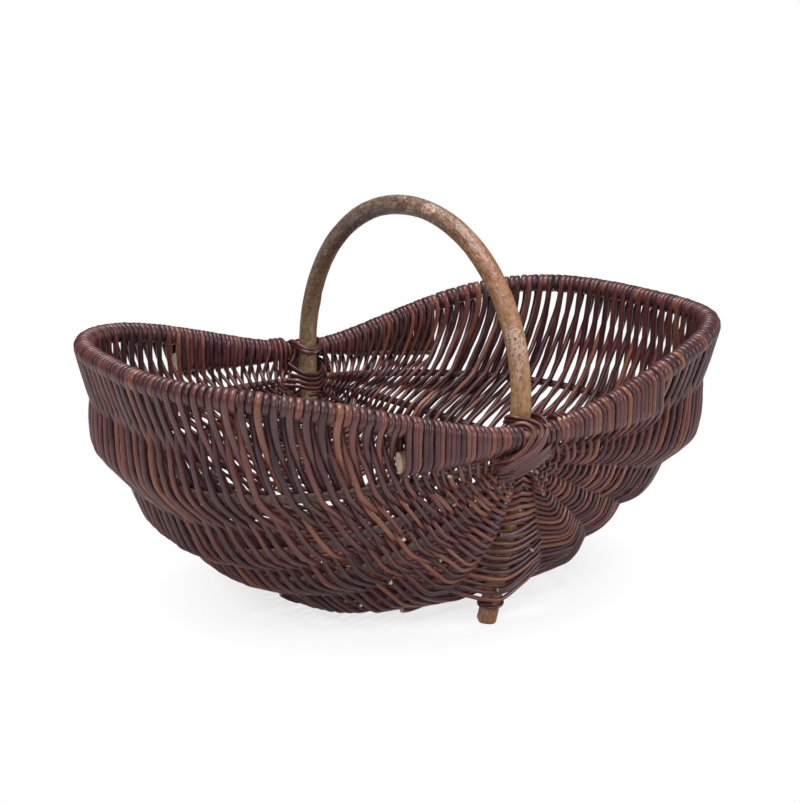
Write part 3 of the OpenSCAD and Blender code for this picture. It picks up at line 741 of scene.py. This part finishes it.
def short_rod(back, side):
    """A thick short rod under the rim, shaved to a wedge toward the ear."""
    slope = quadrant(BAND_SLOPE, side, back)
    x = side * np.linspace(BAND_START + 5 / slope, quadrant(SHORT_REACH, side, back), 40)
    drop = 1 + slope * (np.abs(x) - BAND_START)
    tall = np.minimum(SHORT_TALL, (drop - 0.7) / 2)
    wide = np.minimum(SHORT_WIDE, tall + 1)
    path = np.stack([x, rim_y(x, back), rim_z(x) - drop - RIM_R + tall], -1)
    return Strand(path, Z_UP, wide, tall, 0.5, sides=18, square=0.9)


def rods():
    wood, bark = rod_bark(), rib_bark()
    loop = np.vstack([rim_half(-1), rim_half(1)[::-1][1:]])
    rod("hoop", loop, RIM_R - 0.1, wood, "peeled_rod", "rim_hoop", sides=12)
    for back, word in ((-1, "front"), (1, "back")):
        piece = build_mesh(f"short_rods_{word}", [short_rod(back, side) for side in (-1, 1)], [wood, CUT])
        finish_piece(piece, "peeled_rod", f"side_rod_{word}")
    for side, word in ((-1, "left"), (1, "right")):
        for i in range(4):
            line = rib_line(i, side)
            rod(f"rib_{word}_{i + 1}_look", line,
                lambda run, whole: mix(RIB_TIP_R, RIB_R, np.clip(np.minimum(run, whole - run) / RIB_TIP_LENGTH, 0, 1)) - 0.05,
                bark, "peeled_rod", f"rib_{word}_{i + 1}", sides=10,
                attributes={"shaved": lambda run, whole: np.clip(0.95 - np.minimum(run, whole - run) / 36, 0, 1)})


# Scars and knots on the handle: share of its length, turn round it in degrees, size
# along and round it in mm, height in mm, and how rough and pale it is
KNOTS = [
    (0.278, 238, 12, 8.5, 1.3, 1.25), (0.256, 224, 11, 3.4, 0.5, 1.0), (0.457, 222, 9, 6, 1.3, 1.1),
    (0.418, 262, 2.6, 2.6, 1.5, 0.3), (0.346, 245, 5, 3.5, 0.5, 0.6), (0.227, 250, 2.6, 2.2, 0.7, 0.35),
    (0.664, 150, 6, 4.5, 0.8, 0.6), (0.716, 70, 3, 3, 1.5, 0.3), (0.60, 265, 2.4, 2.4, 1.3, 0.3),
    (0.575, 120, 4, 3, 0.7, 0.5), (0.74, 20, 6, 5, 0.8, 0.5), (0.50, 235, 6, 4, 0.6, 0.45), (0.15, 60, 5, 4, 0.7, 0.5),
]


def handle():
    """The bow: one thick bark-on rod with knots, a chamfer at each foot and rough skin."""
    line = handle_line()
    line = resample(line, evenly(line, 2.4))
    run, sides = run_of(line), 32
    whole = run[-1]
    _, n, b = frames(line, carried(line, [1.0, 0, 0]))
    ang = 2 * np.pi * np.arange(sides) / sides
    swell = 1 + wobble(run, 0.022, 210) + wobble(run, 0.012, 70)
    near_end = np.minimum(run, whole - run)
    swell = swell * (1 - 0.16 * np.clip(1 - near_end / 2.2, 0, 1))
    r = np.repeat((HANDLE_R - 0.1) * swell[:, None], sides, axis=1)
    ridges = sum(size * np.sin(m * ang[None, :] + ph + run[:, None] / ln)
                 for size, m, ph, ln in ((0.10, 3, 0.4, 40), (0.07, 5, 2.0, -23), (0.05, 8, 1.0, 11), (0.04, 11, 0.2, -7)))
    r = r + ridges
    scar = np.zeros_like(r)
    for share, turn, long, round_, height, rough in KNOTS:
        ds = run[:, None] - share * whole
        da = ((ang[None, :] - math.radians(turn) + np.pi) % (2 * np.pi) - np.pi) * HANDLE_R
        ds, da = ds + 1.1 * np.sin(da * 0.9 + long) + 0.25 * da, da + 0.9 * np.sin(ds * 0.8 + round_)
        d2 = (ds / long) ** 2 + (da / round_) ** 2
        lumps = 1 + 0.35 * np.sin(ds * 1.7 + da * 1.1) * np.sin(da * 2.1 - ds * 0.7)
        r = r + height * lumps * np.exp(-d2 * 1.2) - height * 0.8 * np.exp(-d2 * 9)
        scar = np.maximum(scar, rough * np.exp(-d2 * 0.9))
    r = np.minimum(r, HANDLE_R + 1.4)
    ring = line[:, None] + r[..., None] * (n[:, None] * np.cos(ang)[None, :, None] + b[:, None] * np.sin(ang)[None, :, None])
    ring[..., 2] = np.maximum(ring[..., 2], 0.02)
    count = len(line)
    caps = np.concatenate([ring[:1], ring[-1:]])
    verts = np.concatenate([ring, caps]).reshape(-1, 3)
    index = np.arange(count * sides).reshape(count, sides)
    turned = np.roll(index, -1, axis=1)
    quads = np.stack([index[:-1], turned[:-1], turned[1:], index[1:]], -1).reshape(-1, 4).tolist()
    first = count * sides
    quads += [list(range(first + sides - 1, first - 1, -1)), list(range(first + sides, first + 2 * sides))]
    mesh = bpy.data.meshes.new("bark_handle")
    mesh.from_pydata((verts * METRE).tolist(), [], quads)
    kinds = np.array([0] * (len(quads) - 2) + [1, 1], np.int32)
    mesh.polygons.foreach_set("material_index", kinds)
    mesh.polygons.foreach_set("use_smooth", kinds == 0)
    ends = [0, -1]
    grain = np.stack([np.broadcast_to(run[:, None], r.shape), HANDLE_R * np.broadcast_to(np.cos(ang), r.shape),
                      HANDLE_R * np.broadcast_to(np.sin(ang), r.shape)], -1)
    for key, field in (("share", np.broadcast_to((run / whole)[:, None], r.shape)), ("scar", scar)):
        mesh.attributes.new(key, "FLOAT", "POINT").data.foreach_set(
            "value", np.concatenate([field, field[ends]]).ravel())
    mesh.attributes.new("grain", "FLOAT_VECTOR", "POINT").data.foreach_set(
        "vector", (np.concatenate([grain, grain[ends]]) * METRE).ravel())
    mesh.materials.append(handle_bark())
    mesh.materials.append(CUT)
    mesh.update()
    piece = bpy.data.objects.new("bark_handle", mesh)
    bpy.context.scene.collection.objects.link(piece)
    finish_piece(piece, "bark_handle", "handle_bow")


# ---------------------------------------------------------------- bindings
def foot_binding(back, word):
    """A slender strand wound once and a half round the leg, just above the floor."""
    a = np.linspace(0, 3.1 * np.pi, 130)
    centre = leg_line(np.full(len(a), BINDING_Z), back)
    under = smooth(np.clip(a / np.pi - 1.9, 0, 1) / 0.2)
    rad = HANDLE_R + 1.75 + 0.35 * np.sin(2.2 * a)
    z = -1.4 + 3.1 * a / a[-1] + 0.5 * np.sin(1.3 * a + 1) + 0.4 * under
    path = centre + np.stack([rad * np.cos(a + 0.8), rad * np.sin(a + 0.8), z], -1)
    strand = Strand(path, carried(path, [0, 0, 1.0]), 1.5, 1.5, 0.45)
    piece = build_mesh(f"foot_strand_{word}", [strand], [WEAVER, CUT])
    finish_piece(piece, "brown_weaver", f"foot_binding_{word}")


def ear_point(back, along, outward, up):
    """A place near an ear: along the rim to the viewer's right from outside, outward
    from the rim rod's middle line, and up from it."""
    return np.array([-back * along, back * (HALF_W + outward), RIM_EAR_Z + up])


def ear_lashing(back, word):
    """Flat strands looped from behind the handle, over the rim and across the ear."""
    h = leg_line(np.array([RIM_EAR_Z]), back)[0][0] * -back
    loops = [
        # from the lower left over the rim, round behind the handle and over again on its right
        [(-36, -6, -24), (-34, 3, -23), (-29, 7.5, -18.5), (-21, 9.5, -14), (-12, 9.5, -9), (-5, 9, -4), (1, 7.5, 2),
         (4, 3, 8.5), (0, -4, 12), (-6, -8.5, 13.5), (-11, -12.5, 14.5), (-13, -20, 14), (-9, -29, 10), (0, -33, 7.5),
         (8.5, -29.5, 8.5), (12.5, -20, 12), (12.5, -8, 12.5), (12, 1, 9), (8, 7, 4.5), (2.5, 9.5, -1.5),
         (-5, 11, -8), (-14, 11.5, -12), (-24, 11, -15.5), (-32, 7, -20), (-36, -4, -23)],
        # beside it on the left
        [(-18, -11, 0), (-16, -9, 8.5), (-10, -3, 11.5), (-5.5, 4, 8.5), (-7, 8, 3), (-15, 9.5, -5.5), (-23, 9.5, -11),
         (-30, 7, -15), (-34, -3, -19)],
        # under the rim, nearly level
        [(14, 4, -7), (10, 7, -9), (-1, 9, -13.5), (-12, 9.5, -18), (-23, 8, -22), (-31, -2, -26)],
        [(16, 2, -13), (12, 5, -15), (-1, 7.5, -20), (-13, 8, -24), (-24, 6, -28), (-31, -3, -32)],
    ]
    # each of those with a second strand beside it
    loops = [[(a, o - shift, u - 2.4 * shift) for a, o, u in loop] for loop in loops for shift in (0, 1.5)]
    # from over the rim down its inner side, then across the inner side of the handle
    for i in range(4):
        up, v = -19.5 - 4.9 * i, 17 + 5.2 * i
        start = [(19, -12, up + 8)] if i == 0 else [(v, 4, 12), (v, -6, 12), (v, -11.8, 2), (v + 0.5, -12, -9 - 4 * i), (v - 2, -14, up + 4)]
        loops.append(start + [(12, -26, up + 1.5), (6, -31, up - 0.5), (-3, -32.5, up - 1), (-10, -28, up + 1), (-17, -18, up + 4)])
    tones = (0.62, 0.45, 0.80, 0.66, 0.45, 0.30, 0.30, 0.40, 0.35, 0.55, 0.75, 0.66)
    strands = []
    for i, (loop, tone) in enumerate(zip(loops, tones)):
        path = through([ear_point(back, h + a, o, u) for a, o, u in loop], 2.5)
        core = np.array([-back * h * 0.4, back * (HALF_W - 12), RIM_EAR_Z - 8.0])
        wide, thick = (2.1, 1.5) if i < 8 else (3.3, 1.5)
        strands.append(Strand(path, unit(path - core), wide, thick, tone, sides=10, square=0.85))
    piece = build_mesh(f"lashing_{word}", strands, [WEAVER, CUT])
    finish_piece(piece, "brown_weaver", f"ear_lashing_{word}")


# ---------------------------------------------------------------- camera, floor and light
def camera():
    azimuth, elevation, distance, roll = math.radians(-31.554437), math.radians(14.123324), 1.4220232, 0.006
    target = Vector((-0.0047913, 0.0019499, 0.1691998))
    away = Vector((math.cos(elevation) * math.sin(azimuth), -math.cos(elevation) * math.cos(azimuth), math.sin(elevation)))
    data = bpy.data.cameras.new("camera")
    data.sensor_fit, data.sensor_height, data.lens = "VERTICAL", 36.0, 36.0 * 1509.4594 / 803
    data.clip_start, data.clip_end = 0.05, 50
    cam = bpy.data.objects.new("camera", data)
    cam.matrix_world = (Matrix.Translation(target + away * distance)
                        @ (-away).to_track_quat("-Z", "Y").to_matrix().to_4x4() @ Matrix.Rotation(roll, 4, "Z"))
    bpy.context.scene.collection.objects.link(cam)
    bpy.context.scene.camera = cam


# Half length and half width of the ground round the basket where the white glow is weaker: the rendered shadow shows
# there, and the floor there is painted a little darker as painted shade
SHADOW_HALF = (0.26, 0.21)


def floor():
    """A wide pale floor that glows white to the camera, less so round the basket, where the rendered soft shadow shows
    and the weaker glow paints the floor a little darker.
    """
    n, half = 24, 6.0
    g = np.linspace(-half, half, n + 1)
    verts = [(x, y, 0.0) for y in g for x in g]
    faces = [(i * (n + 1) + j, i * (n + 1) + j + 1, (i + 1) * (n + 1) + j + 1, (i + 1) * (n + 1) + j) for i in range(n) for j in range(n)]
    mesh = bpy.data.meshes.new("floor")
    mesh.from_pydata(verts, [], faces)
    m = bpy.data.materials.new("floor_paper")
    m.use_nodes = True
    tree = m.node_tree
    tree.nodes.clear()
    out = tree.nodes.new("ShaderNodeOutputMaterial")
    paper = add(tree, "BsdfDiffuse", Color=(0.90, 0.90, 0.905, 1), Roughness=0.4)
    glow = add(tree, "Emission", Color=(1, 1, 1, 1), Strength=1.0)
    path = add(tree, "LightPath")
    place = add(tree, "TexCoord").outputs["Object"]
    away = add(tree, "VectorMath", {"operation": "LENGTH"}, i0=scaled(tree, place, *(1 / v for v in SHADOW_HALF), 0)).outputs["Value"]
    # painted shade: the glow share falls from 1 far off to 0.72 round the basket, so the floor there shows the rendered
    # shadow and is painted a little darker
    far = level(tree, away, 0.55, 0.95, 0.72, 1.0)
    share = add(tree, "Math", {"operation": "MULTIPLY"}, i0=path.outputs["Is Camera Ray"], i1=far).outputs[0]
    both = add(tree, "MixShader", i0=share)
    tree.links.new(paper.outputs[0], both.inputs[1])
    tree.links.new(glow.outputs[0], both.inputs[2])
    tree.links.new(both.outputs[0], out.inputs[0])
    mesh.materials.append(m)
    obj = bpy.data.objects.new("floor", mesh)
    bpy.context.scene.collection.objects.link(obj)


def area_light(name, place, aim, size, power):
    data = bpy.data.lights.new(name, "AREA")
    data.shape, data.size, data.size_y, data.energy = "RECTANGLE", size[0], size[1], power
    light = bpy.data.objects.new(name, data)
    light.location = place
    light.rotation_euler = (Vector(aim) - Vector(place)).to_track_quat("-Z", "Y").to_euler()
    bpy.context.scene.collection.objects.link(light)


def lights():
    world = bpy.data.worlds.new("studio")
    world.use_nodes = True
    tree = world.node_tree
    tree.nodes.clear()
    out = tree.nodes.new("ShaderNodeOutputWorld")
    seen = add(tree, "LightPath").outputs["Is Camera Ray"]
    dim = add(tree, "Background", Color=(0.96, 0.98, 1.0, 1), Strength=0.15)
    white = add(tree, "Background", Color=(1, 1, 1, 1), Strength=1.0)
    both = add(tree, "MixShader", i0=seen)
    tree.links.new(dim.outputs[0], both.inputs[1])
    tree.links.new(white.outputs[0], both.inputs[2])
    tree.links.new(both.outputs[0], out.inputs[0])
    bpy.context.scene.world = world
    area_light("top_soft", (-0.15, 0.1, 1.7), (0, 0, 0.15), (1.1, 0.9), 30)
    area_light("front_left", (-1.5, -1.5, 1.5), (0, 0, 0.15), (0.8, 0.8), 20)
    area_light("front_right", (1.5, -1.7, 1.1), (0, 0, 0.15), (0.8, 1.0), 23)


# ---------------------------------------------------------------- the scene
camera()
floor()
lights()
weave()
rods()
handle()
for back, word in ((-1, "front"), (1, "back")):
    foot_binding(back, word)
    ear_lashing(back, word)

bpy.context.scene.view_settings.view_transform = "Standard"
